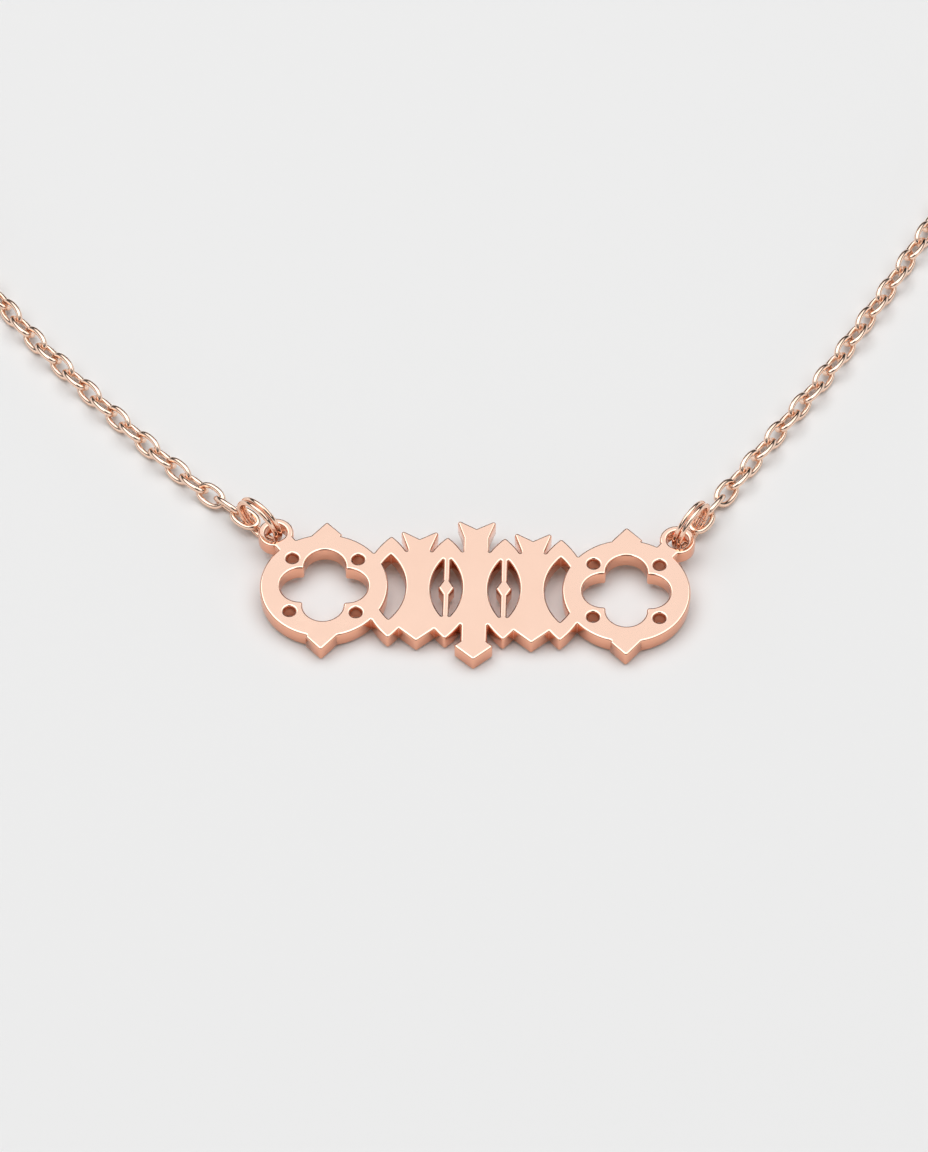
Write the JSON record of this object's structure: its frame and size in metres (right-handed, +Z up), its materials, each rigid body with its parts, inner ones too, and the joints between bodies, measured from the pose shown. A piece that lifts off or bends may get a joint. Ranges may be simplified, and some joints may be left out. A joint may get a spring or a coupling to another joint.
{
  "type": "nameplate necklace",
  "caption": "Fine cable chain necklace laid out flat, with a pierced ornamental bar hung between the ends of the chain on jump rings.",
  "frame": {"origin": "on the table, under the middle of the box round the whole loop", "axes": "+Z up from the table, +Y away from the viewer from the plate towards the clasp, +X from the plate's left ear to its right ear"},
  "size_m": [0.1292, 0.168, 0.0052],
  "materials": {
    "plate_gold": "mirror polished rose gold plate over silver",
    "ring_gold": "polished rose gold wire",
    "chain_gold": "polished rose gold wire"
  },
  "bodies": {
    "root": {"nameplate": "plate_gold", "jump_ring_left_inner": "ring_gold", "jump_ring_left_outer": "ring_gold", "jump_ring_right_inner": "ring_gold", "jump_ring_right_outer": "ring_gold", "chain_left": "chain_gold", "chain_right": "chain_gold", "clasp": "ring_gold"}
  },
  "joints": []
}
